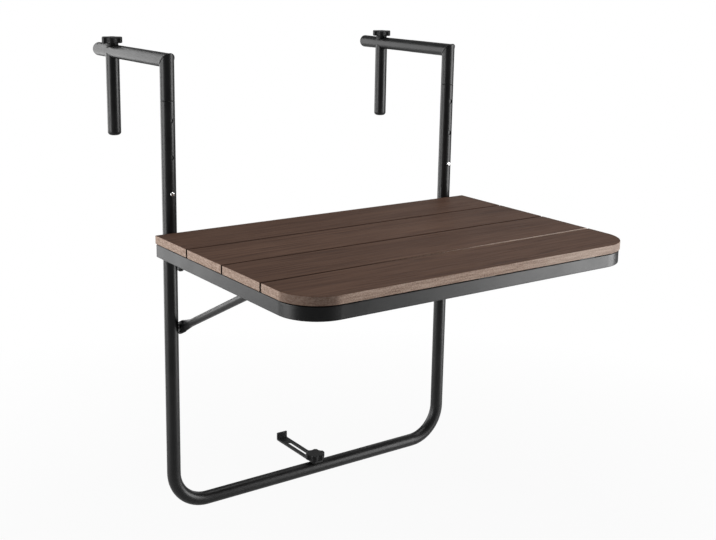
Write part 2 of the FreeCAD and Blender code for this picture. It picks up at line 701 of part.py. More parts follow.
# Strut tube with flattened ends
def make_strut():
    half = "fit.strut_flat_radius"
    tube_start, tube_end = "-fit.strut_tube_start", "-(fit.strut_length - fit.strut_tube_start)"
    tube_base = ("fit.strut_x", tube_end, 0)
    pieces = [
        rod(None, "strut_tube", "fit.strut_radius", "fit.strut_tube_length", tube_base, "y"),
        strut_neck("lower_neck", "-fit.strut_neck_start", tube_start),
        strut_neck("upper_neck", "-(fit.strut_length - fit.strut_neck_start)", tube_end),
    ]
    flats = (("lower", "-fit.strut_neck_start", "0"),
             ("upper", "-fit.strut_length", "-(fit.strut_length - fit.strut_neck_start)"))
    for tag, start, end in flats:
        eye = ("fit.plate_inner_x", "0" if tag == "lower" else "-fit.strut_length", 0)
        flat_size = ("dims.plate_thickness", f"{end} - ({start})", f"2 * {half}")
        pieces.append(block(None, f"{tag}_flat", flat_size, ("fit.plate_inner_x", start, f"-{half}")))
        pieces.append(rod(None, f"{tag}_eye", half, "dims.plate_thickness", eye, "x"))
    whole = doc.addObject("Part::MultiFuse", "strut_whole")
    whole.Shapes = pieces
    hollow = "fit.strut_radius - dims.strut_wall"
    depth = "3 * dims.plate_thickness"
    before = "fit.plate_inner_x - dims.plate_thickness"
    cuts = [
        rod(None, "strut_bore", hollow, "fit.strut_tube_length", tube_base, "y"),
        rod(None, "lower_hole", "fit.bolt_radius + dims.thread_gap", depth, (before, 0, 0), "x"),
        rod(None, "upper_hole", "fit.pin_radius + dims.thread_gap", depth,
            (before, "-fit.strut_length", 0), "x"),
    ]
    holes = doc.addObject("Part::MultiFuse", "strut_holes")
    holes.Shapes = cuts
    strut = doc.addObject("Part::Cut", "right_strut")
    strut.Base = whole
    strut.Tool = holes
    lean(strut)
    keep_pair(strut, "strut")

    head = rod(None, "pin_head", "dims.pin_head_diameter / 2", "dims.pin_head_height",
               ("fit.plate_inner_x - dims.pin_head_height", "-fit.strut_length", 0), "x")
    reach = "fit.guide_x - dims.pin_gap - fit.plate_inner_x + dims.pin_head_height"
    shank = rod(None, "pin_shank", "fit.pin_radius", reach,
                ("fit.plate_inner_x - dims.pin_head_height", "-fit.strut_length", 0), "x")
    pin = doc.addObject("Part::Fuse", "right_strut_pin")
    pin.Base = head
    pin.Tool = shank
    lean(pin)
    keep_pair(pin, "strut_pin")


# Hook: a short stub and an arm, mitred and welded
def make_hook_arm():
    body = new_body("right_hook_arm")
    path = new_sketch(body, "arm_path", "yz", "fit.upright_x")
    corner = Vector(number("fit.upright_y"), number("fit.arm_z"), 0)
    end = Vector(number("fit.arm_end_y"), corner.y, 0)
    foot = Vector(corner.x, number("fit.seam_z"), 0)
    arm = path.addGeometry(Part.LineSegment(end, corner))
    stub = path.addGeometry(Part.LineSegment(corner, foot))
    path.addConstraint(Sketcher.Constraint("Coincident", arm, 2, stub, 1))
    hold_point(path, arm, 1, "arm_end", "fit.arm_end_y", "fit.arm_z")
    hold_point(path, arm, 2, "mitre", "fit.upright_y", "fit.arm_z")
    hold_point(path, stub, 2, "stub_foot", "fit.upright_y", "fit.seam_z")
    profile = new_sketch(body, "arm_profile", "xz", "-fit.arm_end_y")
    ring(profile, "outside", "fit.tube_radius", "fit.upright_x", "fit.arm_z")
    ring(profile, "inside", "fit.bore_radius", "fit.upright_x", "fit.arm_z")
    pipe(body, "arm_tube", profile, path, "Right corner")
    round_seam(body)
    slot(body, "stud_slot", "fit.stud_slot_radius", "fit.upright_x", "fit.leg_y - dims.leg_forward",
         "fit.leg_y + dims.leg_back", "fit.arm_z - dims.tube_diameter", "2 * dims.tube_diameter")
    keep_pair(body, "hook_arm")


# Inner sleeve that slides in the upright
def make_hook_sleeve():
    body = new_body("right_hook_sleeve")
    length = "fit.sleeve_top_z - fit.sleeve_low_z"
    base = ("fit.upright_x", "fit.upright_y", "fit.sleeve_low_z")
    rod(body, "outside", "fit.sleeve_radius", length, base)
    bore(body, "inside", "fit.sleeve_bore", length, base)
    bore(body, "button_hole", "dims.hole_diameter / 2", "dims.tube_diameter",
         ("fit.upright_x", "fit.upright_y - dims.tube_diameter", "fit.low_hole_z"), "y")
    keep_pair(body, "hook_sleeve")


# Snap button and its leaf
def make_snap_button():
    body = new_body("right_snap_button")
    rod(body, "barrel", "dims.button_diameter / 2", "fit.flange_back_y - fit.button_tip_y",
        ("fit.upright_x", "fit.button_tip_y", "fit.low_hole_z"), "y")
    round_edges(body, "tip_round", "dims.button_round",
                lambda box: near(box.YMin, "fit.button_tip_y") and box.YLength < FLAT)
    rod(body, "flange", "dims.flange_diameter / 2", "dims.flange_thickness",
        ("fit.upright_x", "fit.flange_front_y", "fit.low_hole_z"), "y")
    keep_pair(body, "snap_button")

    spring = new_body("right_snap_spring")
    side = "fit.upright_x - dims.spring_width / 2"
    bend_z = "fit.low_hole_z + dims.spring_length"
    rod(spring, "bend", "fit.spring_bend", "dims.spring_width", (side, "fit.spring_middle_y", bend_z), "x")
    bore(spring, "bend_inside", "fit.spring_bend - dims.spring_thickness", "dims.spring_width",
         (side, "fit.spring_middle_y", bend_z), "x")
    pocket(spring, "bend_below", ("dims.spring_width", "2 * fit.spring_bend", "fit.spring_bend"),
           (side, "fit.flange_back_y", f"{bend_z} - fit.spring_bend"))
    for tag, start in (("front", "fit.flange_back_y"), ("back", "fit.spring_back_y - dims.spring_thickness")):
        block(spring, f"{tag}_leaf", ("dims.spring_width", "dims.spring_thickness",
                                      "dims.spring_length + dims.spring_tail"),
              (side, start, "fit.low_hole_z - dims.spring_tail"))
    keep_pair(spring, "snap_spring")


# Rounded plug for a tube end
def make_cap(name, base, along, outward):
    """Its seat lies on the tube end at the base, and it points outward by the sign."""
    body = new_body(f"right_{name}")
    axis = "xyz".index(along)
    seat = base[axis]
    head_start = seat if outward > 0 else f"{seat} - dims.cap_head"
    plug_start = f"{seat} - dims.cap_depth" if outward > 0 else seat
    tip = f"{seat} + {outward} * dims.cap_head"

    def at(value):
        return tuple(value if index == axis else part for index, part in enumerate(base))

    rod(body, "head", "fit.tube_radius", "dims.cap_head", at(head_start), along)
    lows = ("XMin", "YMin", "ZMin")
    lengths = ("XLength", "YLength", "ZLength")
    round_edges(body, "head_round", "dims.cap_round",
                lambda box: near(getattr(box, lows[axis]), tip) and getattr(box, lengths[axis]) < FLAT)
    rod(body, "plug", "fit.plug_radius", "dims.cap_depth", at(plug_start), along)
    bore(body, "hollow", "fit.plug_radius - dims.cap_wall", "dims.cap_depth", at(plug_start), along)
    keep_pair(body, name)


# Leg that closes the hook behind the railing
def make_hook_leg():
    body = new_body("right_hook_leg")
    base = ("fit.upright_x", "fit.leg_y", "fit.leg_low_z")
    rod(body, "outside", "fit.tube_radius", "fit.arm_z - fit.leg_low_z", base)
    bore(body, "inside", "fit.bore_radius", "fit.arm_z - fit.leg_low_z", base)
    cope = ("fit.upright_x", "fit.leg_y - dims.tube_diameter", "fit.arm_z")
    bore(body, "saddle", "fit.saddle_radius", "2 * dims.tube_diameter", cope, "y")
    keep_pair(body, "hook_leg")

    insert = new_body("right_leg_insert")
    insert_base = ("fit.upright_x", "fit.leg_y", "fit.insert_low_z")
    rod(insert, "plug", "fit.plug_radius", "fit.arm_z - fit.insert_low_z", insert_base)
    bore(insert, "saddle", "fit.saddle_radius", "2 * dims.tube_diameter", cope, "y")
    bore(insert, "thread", "fit.thread_radius", "2 * dims.tube_diameter + dims.insert_depth",
         ("fit.upright_x", "fit.leg_y", "fit.insert_low_z - dims.overcut"))
    keep_pair(insert, "leg_insert")

    washer = new_body("right_clamp_washer")
    rod(washer, "disc", "dims.clamp_washer_diameter / 2", "fit.clamp_seat_z - fit.arm_z",
        ("fit.upright_x", "fit.leg_y", "fit.arm_z"))
    bore(washer, "saddle", "fit.saddle_radius", "2 * dims.tube_diameter", cope, "y")
    bore(washer, "stud_hole", "fit.stud_slot_radius", "2 * dims.tube_diameter",
         ("fit.upright_x", "fit.leg_y", "fit.arm_z"))
    keep_pair(washer, "clamp_washer")


def shape_knob(body, across, along, seat):
    """A lobed knob on a short neck, with a blind hole for its stud."""
    neck_top = f"{seat} + dims.neck_height"
    rod(body, "head", "fit.knob_radius", "dims.knob_height", (across, along, neck_top))
    centre = "(fit.knob_radius + dims.knob_scoop_out)"
    lobes = int(number("dims.knob_lobes"))
    for lobe in range(lobes):
        turn = f"(dims.knob_turn * 1 deg + ({lobe} + 0.5) * 360 deg / dims.knob_lobes)"
        spot = (
            f"{across} + {centre} * sin({turn})",
            f"{along} + {centre} * cos({turn})",
            f"{neck_top} - dims.overcut",
        )
        bore(body, f"scoop_{lobe}", "dims.knob_scoop", "dims.knob_height + 2 * dims.overcut", spot)
    head_seam = f"{across} + fit.knob_radius"
    round_edges(body, "lobe_corners", "dims.knob_corner",
                lambda box: box.ZLength > LONG and not near(box.XMin, head_seam))
    top = f"{neck_top} + dims.knob_height"
    round_edges(body, "lobe_edges", "dims.knob_round",
                lambda box: box.ZLength < FLAT and (near(box.ZMin, top) or near(box.ZMin, neck_top)))
    rod(body, "neck", "dims.neck_diameter / 2", "dims.neck_height + dims.overcut", (across, along, seat))
    bore(body, "stud_hole", "fit.thread_radius", "dims.stud_in_knob + dims.overcut",
         (across, along, f"{seat} - dims.overcut"))


# Clamp knobs over the legs, with their studs
def make_clamp_knob():
    knob = new_body("right_clamp_knob")
    shape_knob(knob, "fit.upright_x", "fit.leg_y", "fit.clamp_seat_z")
    keep_pair(knob, "clamp_knob")
    stud = new_body("right_clamp_stud")
    length = "fit.clamp_seat_z + dims.stud_in_knob + dims.stud_end"
    rod(stud, "shank", "fit.stud_radius", length, ("fit.upright_x", "fit.leg_y", "-dims.stud_end"))
    keep_pair(stud, "clamp_stud")


# Slotted bar that steadies the frame against the railing
def make_stabiliser():
    body = new_body("stabiliser_bar")
    left = "-dims.stabiliser_width / 2"
    length = "fit.stabiliser_back_y - fit.stabiliser_front_y"
    block(body, "strip", ("dims.stabiliser_width", length, "dims.stabiliser_thickness"),
          (left, "fit.stabiliser_front_y", "fit.stabiliser_low_z"))
    block(body, "lip", ("dims.stabiliser_width", "dims.stabiliser_thickness", "dims.stabiliser_lip"),
          (left, "fit.stabiliser_back_y - dims.stabiliser_thickness", "fit.stabiliser_low_z"))
    round_edges(body, "front_corners", "dims.stabiliser_round",
                lambda box: box.ZLength > LONG and near(box.YMin, "fit.stabiliser_front_y"))
    round_edges(body, "bend_outside", "dims.stabiliser_bend_round",
                lambda box: box.ZLength < FLAT and near(box.YMin, "fit.stabiliser_back_y") and (
                    near(box.ZMin, "fit.stabiliser_low_z")))
    slot(body, "slot", "(dims.stabiliser_slot / 2)", "0", "fit.upright_y",
         "fit.upright_y + dims.stabiliser_travel", "fit.stabiliser_low_z - dims.overcut",
         "3 * dims.stabiliser_thickness")
    keep(body, "stabiliser_bar")

    washer = new_body("stabiliser_washer")
    base = (0, "fit.upright_y", "fit.stabiliser_top_z")
    rod(washer, "disc", "dims.stabiliser_washer_diameter / 2", "dims.stabiliser_washer_height", base)
    bore(washer, "stud_hole", "fit.stud_slot_radius", "dims.stabiliser_washer_height", base)
    keep(washer, "stabiliser_washer")

    knob = new_body("stabiliser_knob")
    shape_knob(knob, "0", "fit.upright_y", "fit.stabiliser_seat_z")
    keep(knob, "stabiliser_knob")

    stud = new_body("stabiliser_stud")
    foot = "fit.bar_top_z - dims.rivet_barrel_length"
    rod(stud, "shank", "fit.stud_radius", f"fit.stabiliser_seat_z + dims.stud_in_knob - ({foot})",
        (0, "fit.upright_y", foot))
    keep(stud, "stabiliser_stud")


def build():
    """Make every sub-part."""
    make_u_frame()
    make_rivet_nut()
    make_pivot_fasteners("pivot", "fit.pivot_z")
    make_pivot_fasteners("strut", "fit.strut_z")
    make_table_rail()
    make_rear_cross_bar()
    make_rail_end_cap()
    for index in range(SLATS):
        make_slat(index)
    make_battens()
    make_slat_screws()
    make_pivot_ear()
    make_strut_guide()
    make_strut()
    make_hook_arm()
    make_hook_sleeve()
    make_snap_button()
    make_cap("arm_cap", ("fit.upright_x", "fit.arm_end_y", "fit.arm_z"), "y", 1)
    make_cap("leg_cap", ("fit.upright_x", "fit.leg_y", "fit.leg_low_z"), "z", -1)
    make_hook_leg()
    make_clamp_knob()
    make_stabiliser()
    doc.recompute()


def check_and_write():
    """Refuse any failed object or bad shape, then write one file to each sub-part."""
    failed = [item.Label for item in doc.Objects if {"Invalid", "Error"} & set(item.State)]
    bad = [item.Label for item in nodes if item.Shape.isNull() or not item.Shape.isValid()]
    if failed or bad:
        raise RuntimeError(f"failed objects {failed}, bad shapes {bad}")
    os.makedirs("parts", exist_ok=True)
    for item in nodes:
        item.Shape.exportStep(f"parts/{item.Label}.step")
        print(item.Label, len(item.Shape.Solids), round(item.Shape.Volume, 1))


build()
check_and_write()
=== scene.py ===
import math

import bmesh
import bpy
import numpy as np
from mathutils import Matrix, Vector


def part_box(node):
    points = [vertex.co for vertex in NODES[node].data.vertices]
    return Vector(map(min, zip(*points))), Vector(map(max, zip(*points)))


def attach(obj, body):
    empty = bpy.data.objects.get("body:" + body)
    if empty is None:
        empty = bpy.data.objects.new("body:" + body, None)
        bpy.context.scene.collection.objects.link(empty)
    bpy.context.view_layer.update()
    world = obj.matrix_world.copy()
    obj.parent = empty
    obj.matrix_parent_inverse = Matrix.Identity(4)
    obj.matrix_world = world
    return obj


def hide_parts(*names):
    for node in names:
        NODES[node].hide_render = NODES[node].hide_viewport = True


# Hook-on railing table: the CAD frame is loaded and finished with materials and modelled detail
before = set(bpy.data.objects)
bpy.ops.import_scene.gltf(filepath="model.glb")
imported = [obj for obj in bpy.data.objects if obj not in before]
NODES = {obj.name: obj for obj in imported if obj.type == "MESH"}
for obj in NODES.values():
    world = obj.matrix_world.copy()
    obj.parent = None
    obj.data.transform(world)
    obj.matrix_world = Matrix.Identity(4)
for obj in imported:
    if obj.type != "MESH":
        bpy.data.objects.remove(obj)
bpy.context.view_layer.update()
MM = 0.001

# Camera at the photograph's viewing angle, in metres, degrees and pixels of the 716 x 540 frame
PHOTO_WIDTH = 716
CAMERA_PLACE = Vector((-1.04684, -1.58352, 0.15887))
CAMERA_AZIMUTH = -35.764
CAMERA_PITCH = 12.223
CAMERA_ROLL = 1.048
FOCAL_PIXELS = 1150.675
AXIS_PIXELS_UP = 58.0
SENSOR_WIDTH = 36.0

# Stage, in metres
FLOOR_Z = -1.10
FLOOR_SIZE = 40.0
FLOOR_GREY = 0.55
FLOOR_FADE = (0.9, 2.0)
FLOOR_GLOW = (0.88, 1.0)
WORLD_LIGHT = 0.20
WHITE = (1, 1, 1, 1)

# Softboxes: name, place and size in metres, and power in watts
SOFTBOXES = (
    ("back_softbox", (-0.95, 2.1, -0.05), (2.2, 2.1), 41),
    ("left_softbox", (-2.35, 0.45, -0.15), (1.3, 1.6), 39),
    ("front_right_softbox", (1.6, -1.35, -0.35), (1.2, 1.5), 42),
    ("right_back_softbox", (2.0, 1.6, 0.1), (1.2, 1.6), 5),
    ("top_softbox", (0.2, -0.2, 2.0), (2.0, 2.0), 47),
)
SOFTBOX_TARGET = (0, -0.2, -0.35)

# Colours of the boards, as linear red, green and blue
TOP_DARK = (0.048, 0.0255, 0.0175)
TOP_LIGHT = (0.094, 0.0530, 0.0365)
TOP_GROOVE = (0.036, 0.020, 0.015)
SIDE_DARK = (0.185, 0.120, 0.088)
SIDE_LIGHT = (0.430, 0.325, 0.265)
# Painted shade round the front corners of the edges
SIDE_CORNER_SHADE = (0.105, 0.066, 0.050)
# Painted shade on the walls of the gaps
SIDE_GAP_SHADE = (0.046, 0.026, 0.019)
# Painted light on the right of the front edge and of the front gap
SIDE_PAINTED_LIGHT = (0.56, 0.47, 0.41)

# Colours of the metal and plastic parts
COAT_DARK = (0.0030, 0.0031, 0.0033)
COAT_LIGHT = (0.0058, 0.0059, 0.0062)
# Lighter coat edges: rubbed wear and painted sheen
COAT_WEAR_AND_SHEEN = (0.022, 0.022, 0.023)
PLASTIC_DARK = (0.0042, 0.0042, 0.0044)
PLASTIC_LIGHT = (0.0080, 0.0080, 0.0083)
PLASTIC_RUBBED = (0.020, 0.020, 0.021)
ZINC_DARK = (0.40, 0.41, 0.42)
ZINC_LIGHT = (0.60, 0.60, 0.58)
NICKEL_DARK = (0.74, 0.74, 0.73)
NICKEL_LIGHT = (0.86, 0.86, 0.86)

# Slats, in millimetres
SLATS = 4
CORNER_RADIUS = 60.0
EDGE_ROUND = 0.8
ROUND_STEPS = [EDGE_ROUND * share for share in (0.0, 0.1, 0.325, 0.65, 1.0)]
ROW_STEP = 0.7
COLUMN_STEP = 5.0
GROOVE_DEPTH = 0.2
GROOVE_MARGIN = 0.3
SEEDS_PER_SLAT = 10
FIRST_SEED = 3

# Welds, in millimetres
TUBE_RADIUS = 11.0
UPRIGHT_X = 273.5
WELD_RADIUS = 1.5
WELD_FLATTEN = 0.6
MITRE_WELD_RADIUS = 2.3
MITRE_WELD_FLATTEN = 0.5
MITRE_STRETCH = 1.2
WELD_RIPPLE = 1.7
WELD_RIPPLE_SHARE = 0.22
WELD_STEP = 0.42
WELD_SIDES = 10
RAIL_BEND = Vector((245.0, -378.0))
RAIL_BEND_RADIUS = 48.5

# Angle between faces that makes a fastener's edge sharp, in degrees
SHARP_ANGLE = 35

# Screws under the boards, in millimetres and radians
SCREW_RADIUS = 3.75
SCREW_HEAD = 2.0
SCREW_SHANK = 2.0
SCREW_REACH = 10.2
SCREW_TIP = 1.5
SCREW_SIDES = 28
SCREW_HEAD_PROFILE = ((1.0, 1.0), (1.0, 0.72), (0.93, 0.38), (0.74, 0.12), (0.45, 0.0))
RECESS_ARM = 0.62 * SCREW_RADIUS
RECESS_HALF_WIDTH = 0.55
RECESS_TAPER = 0.55
RECESS_DEPTH = 1.3
RECESS_PROUD = 0.5
SCREW_INSET = 26.0
BATTEN_PITCH = 200.0
TURN_PER_SLAT = 1.7
TURN_PER_BATTEN = 2.3
TURN_PER_SPOT = 0.9

# Bolts at the pivots, in millimetres
BOLT_RADIUS = 5.5
BOLT_HEAD = 3.5
BOLT_DOME = 2.4
DOME_END = math.pi / 2 * 0.72
BOLT_SHANK = 3.0
BOLT_CHAMFER = 0.8
BOLT_SIDES = 40
SOCKET_RADIUS = 2.3
SOCKET_TAPER = 0.96
SOCKET_DEPTH = 2.0
SOCKET_PROUD = 1.0


def make_camera():
    data = bpy.data.cameras.new("camera")
    data.sensor_width = SENSOR_WIDTH
    data.lens = FOCAL_PIXELS / PHOTO_WIDTH * SENSOR_WIDTH
    roll = math.radians(CAMERA_ROLL)
    data.shift_x = -math.sin(roll) * AXIS_PIXELS_UP / PHOTO_WIDTH
    data.shift_y = -AXIS_PIXELS_UP / PHOTO_WIDTH
    camera = bpy.data.objects.new("camera", data)
    bpy.context.scene.collection.objects.link(camera)
    turn = Matrix.Rotation(math.radians(CAMERA_AZIMUTH), 4, "Z")
    tilt = Matrix.Rotation(math.radians(90 - CAMERA_PITCH), 4, "X")
    camera.matrix_world = Matrix.Translation(CAMERA_PLACE) @ turn @ tilt @ Matrix.Rotation(roll, 4, "Z")
    bpy.context.scene.camera = camera


class Shader:
    """A node tree being built: add() makes a node, and its sockets are set or linked by name."""

    def __init__(self, owner, output="ShaderNodeOutputMaterial"):
        owner.use_nodes = True
        self.owner = owner
        self.tree = owner.node_tree
        self.tree.nodes.clear()
        self.output = self.add(output)

    def add(self, kind, settings=None, sockets=None):
        node = self.tree.nodes.new(kind)
        for name, value in (settings or {}).items():
            setattr(node, name, value)
        for name, value in (sockets or {}).items():
            self.set(node, name, value)
        return node

    def set(self, node, name, value):
        if isinstance(value, bpy.types.NodeSocket):
            self.tree.links.new(value, node.inputs[name])
        else:
            node.inputs[name].default_value = value

    def math(self, operation, first, second=0.0):
        return self.add("ShaderNodeMath", {"operation": operation}, {0: first, 1: second}).outputs[0]

    def blend(self, first, share, second):
        """The sum of two values, the first of which has a share and the second the rest."""
        return self.math("ADD", self.math("MULTIPLY", first, share), self.math("MULTIPLY", second, 1 - share))

    def spread(self, value, start, end, low=0.0, high=1.0):
        """A value taken from one range to another, and held inside it."""
        sockets = {"Value": value, "From Min": start, "From Max": end, "To Min": low, "To Max": high}
        return self.add("ShaderNodeMapRange", None, sockets).outputs[0]

    def mix(self, share, first, second):
        """One colour turning into another."""
        node = self.add("ShaderNodeMix", {"data_type": "RGBA"})
        for name, value in (("Factor_Float", share), ("A_Color", first), ("B_Color", second)):
            socket = [item for item in node.inputs if item.identifier == name][0]
            if isinstance(value, bpy.types.NodeSocket):
                self.tree.links.new(value, socket)
            else:
                socket.default_value = value if name == "Factor_Float" else (*value, 1)
        return [item for item in node.outputs if item.identifier == "Result_Color"][0]

    def coordinates(self, kind="Object"):
        return self.add("ShaderNodeTexCoord").outputs[kind]

    def axes(self, vector):
        """The three parts of a vector, by name."""
        return self.add("ShaderNodeSeparateXYZ", None, {0: vector}).outputs

    def noise(self, scale, detail=3.0, roughness=0.5):
        """Noise whose grain is 1/scale metres long on each axis."""
        scale = scale if isinstance(scale, tuple) else (scale, scale, scale)
        place = self.add("ShaderNodeMapping", None, {"Vector": self.coordinates(), "Scale": scale}).outputs[0]
        sockets = {"Vector": place, "Scale": 1.0, "Detail": detail, "Roughness": roughness}
        return self.add("ShaderNodeTexNoise", None, sockets).outputs["Fac"]

    def bump(self, height, strength, distance):
        sockets = {"Height": height, "Strength": strength, "Distance": distance}
        return self.add("ShaderNodeBump", None, sockets).outputs[0]

    def edges(self, radius, start, end):
        """A mask that is 1 on convex and concave edges and 0 on smooth faces."""
        rounded = self.add("ShaderNodeBevel", {"samples": 6}, {"Radius": radius}).outputs[0]
        plain = self.add("ShaderNodeNewGeometry").outputs["Normal"]
        dot = self.add("ShaderNodeVectorMath", {"operation": "DOT_PRODUCT"}, {0: rounded, 1: plain})
        return self.spread(dot.outputs["Value"], start, end)

    def surface(self, sockets):
        """The principled shader of a material."""
        node = self.add("ShaderNodeBsdfPrincipled", None, sockets)
        self.set(self.output, "Surface", node.outputs[0])
        return self.owner


def new_shader(name):
    return Shader(bpy.data.materials.new(name))


def board_material():
    """Wood composite: dark embossed top and underside, paler planed edges, with painted shade in the gaps and
    round the front corners and painted light on the right of the front edge and gap.
    """
    s = new_shader("slat_composite")
    fibre = s.noise((45.0, 1500.0, 1500.0), 2.0)
    fleck = s.noise((420.0, 420.0, 560.0), 4.0, 0.7)

    # Top and underside
    broad = s.noise((2.2, 14.0, 14.0), 2.0)
    grain = s.noise((7.0, 330.0, 330.0), 4.0, 0.6)
    top = s.mix(s.spread(s.blend(grain, 0.62, broad), 0.34, 0.64), TOP_DARK, TOP_LIGHT)
    groove = s.add("ShaderNodeAttribute", {"attribute_name": "groove"}).outputs["Fac"]
    top = s.mix(s.math("MULTIPLY", groove, 0.55), top, TOP_GROOVE)

    # Edges, with painted shade round the front corners
    streak = s.noise((30.0, 120.0, 420.0), 2.0)
    side = s.mix(s.spread(s.blend(fleck, 0.65, streak), 0.38, 0.60), SIDE_DARK, SIDE_LIGHT)
    facing = s.axes(s.coordinates("Normal"))
    corner = s.math("ABSOLUTE", s.math("MULTIPLY", facing["X"], facing["Y"]))
    side = s.mix(s.spread(corner, 0.02, 0.16, 0.0, 0.62), side, SIDE_CORNER_SHADE)

    # Walls of the gaps: painted shade, but painted light at the right end of the front gap, as on the front
    # edge
    spot = s.axes(s.coordinates())
    pale = s.math("MULTIPLY", s.spread(spot["Y"], -0.26, -0.30), s.spread(spot["X"], -0.15, 0.10))
    inner = s.math("SUBTRACT", s.spread(spot["Y"], -0.41, -0.37), pale)
    long_side = s.spread(s.math("ABSOLUTE", facing["Y"]), 0.25, 0.45)
    side = s.mix(s.math("MULTIPLY", inner, long_side), side, SIDE_GAP_SHADE)
    # Painted light on the right of the front edge and of the front gap walls
    strength = s.spread(spot["Y"], -0.42, -0.38, 0.28, 0.6)
    painted_light = s.math("MULTIPLY", strength, s.spread(spot["X"], 0.02, 0.16))
    side = s.mix(s.math("MULTIPLY", s.math("MULTIPLY", pale, long_side), painted_light), side, SIDE_PAINTED_LIGHT)

    # The top's colour reaches over the rounded edge, less where the edge has painted light
    start, end = s.spread(pale, 0.0, 1.0, 0.30, 0.70), s.spread(pale, 0.0, 1.0, 0.62, 0.96)
    flat = s.spread(s.math("ABSOLUTE", facing["Z"]), start, end)
    colour = s.mix(flat, side, top)
    rough = s.spread(fibre, 0.3, 0.7, 0.56, 0.68)
    bump = s.bump(s.math("ADD", fibre, s.math("MULTIPLY", fleck, 0.6)), 0.35, 0.00012)
    return s.surface({"Base Color": colour, "Roughness": rough, "Normal": bump, "Specular IOR Level": 0.06})


def coat_material():
    """Black powder coat: fine orange peel, faint mottling and slightly rubbed edges with a painted sheen."""
    s = new_shader("powder_coat")
    peel = s.noise(900.0, 2.0)
    speck = s.noise(2600.0, 1.0)
    mottle = s.noise(26.0, 3.0)
    colour = s.mix(s.spread(mottle, 0.35, 0.65), COAT_DARK, COAT_LIGHT)
    # Lighter edges: rubbed wear and painted sheen
    wear_and_sheen = s.spread(s.noise(160.0, 3.0), 0.35, 0.65, 0.25, 0.8)
    colour = s.mix(s.math("MULTIPLY", s.edges(0.0007, 0.985, 0.90), wear_and_sheen), colour, COAT_WEAR_AND_SHEEN)
    rough = s.spread(s.math("ADD", peel, mottle), 0.7, 1.3, 0.31, 0.42)
    bump = s.bump(s.math("ADD", peel, s.math("MULTIPLY", speck, 0.35)), 0.22, 0.00010)
    return s.surface({"Base Color": colour, "Roughness": rough, "Normal": bump, "Specular IOR Level": 0.36})


def plastic_material():
    """Black moulded plastic with a fine spark-eroded grain."""
    s = new_shader("moulded_plastic")
    grain = s.noise(2200.0, 2.0)
    flow = s.noise((30.0, 30.0, 90.0), 3.0)
    colour = s.mix(s.spread(flow, 0.35, 0.65), PLASTIC_DARK, PLASTIC_LIGHT)
    colour = s.mix(s.edges(0.0006, 0.985, 0.88), colour, PLASTIC_RUBBED)
    rough = s.spread(grain, 0.3, 0.7, 0.42, 0.58)
    bump = s.bump(grain, 0.25, 0.00008)
    return s.surface({"Base Color": colour, "Roughness": rough, "Normal": bump, "Specular IOR Level": 0.24})


def zinc_material():
    """Zinc-plated steel with a cloudy passivated film."""
    s = new_shader("zinc_plate")
    cloud = s.noise(240.0, 4.0, 0.6)
    scratch = s.noise((3000.0, 200.0, 3000.0), 2.0)
    colour = s.mix(s.spread(cloud, 0.35, 0.65), ZINC_DARK, ZINC_LIGHT)
    rough = s.spread(cloud, 0.3, 0.7, 0.26, 0.44)
    bump = s.bump(scratch, 0.12, 0.00005)
    return s.surface({"Base Color": colour, "Roughness": rough, "Metallic": 1.0, "Normal": bump})


def button_material():
    """Bright nickel of the snap buttons, with fine polishing marks."""
    s = new_shader("bright_nickel")
    marks = s.noise((2400.0, 400.0, 2400.0), 2.0)
    colour = s.mix(s.spread(s.noise(500.0, 3.0), 0.35, 0.65), NICKEL_DARK, NICKEL_LIGHT)
    rough = s.spread(marks, 0.3, 0.7, 0.14, 0.26)
    bump = s.bump(marks, 0.08, 0.00003)
    return s.surface({"Base Color": colour, "Roughness": rough, "Metallic": 1.0, "Normal": bump})


def make_stage():
    """A pale floor that keeps the object's shadow and fades into the white backdrop."""
    bpy.ops.mesh.primitive_plane_add(size=FLOOR_SIZE, location=(0, 0, FLOOR_Z))
    floor = bpy.context.object
    floor.name = "floor"
    s = new_shader("pale_floor")
    lit = s.add("ShaderNodeBsdfDiffuse", None, {"Color": (FLOOR_GREY, FLOOR_GREY, FLOOR_GREY, 1)})
    glow = s.add("ShaderNodeEmission", None, {"Color": WHITE})
    seen = s.add("ShaderNodeLightPath").outputs["Is Camera Ray"]
    reach = s.add("ShaderNodeVectorMath", {"operation": "LENGTH"}, {0: s.coordinates()}).outputs["Value"]
    share = s.math("MULTIPLY", seen, s.spread(reach, *FLOOR_FADE, *FLOOR_GLOW))
    mixed = s.add("ShaderNodeMixShader", None, {0: share, 1: lit.outputs[0], 2: glow.outputs[0]})
    s.set(s.output, "Surface", mixed.outputs[0])
    floor.data.materials.append(s.owner)


def make_world():
    """Faint even light, and plain white where the camera sees past the floor."""
    world = bpy.data.worlds.new("studio")
    bpy.context.scene.world = world
    s = Shader(world, "ShaderNodeOutputWorld")
    light = s.add("ShaderNodeBackground", None, {"Color": WHITE, "Strength": WORLD_LIGHT})
    seen = s.add("ShaderNodeBackground", None, {"Color": WHITE, "Strength": 1.0})
    share = s.add("ShaderNodeLightPath").outputs["Is Camera Ray"]
    mixed = s.add("ShaderNodeMixShader", None, {0: share, 1: light.outputs[0], 2: seen.outputs[0]})
    s.set(s.output, "Surface", mixed.outputs[0])


def make_lights():
    for name, place, size, power in SOFTBOXES:
        data = bpy.data.lights.new(name, "AREA")
        data.shape = "RECTANGLE"
        data.size, data.size_y = size
        data.energy = power
        light = bpy.data.objects.new(name, data)
        bpy.context.scene.collection.objects.link(light)
        light.location = place
        light.rotation_euler = (Vector(SOFTBOX_TARGET) - Vector(place)).to_track_quat("-Z", "Y").to_euler()
        light.visible_camera = False


def assign(material, names):
    for name in names:
        slots = NODES[name].data.materials
        slots.clear()
        slots.append(material)


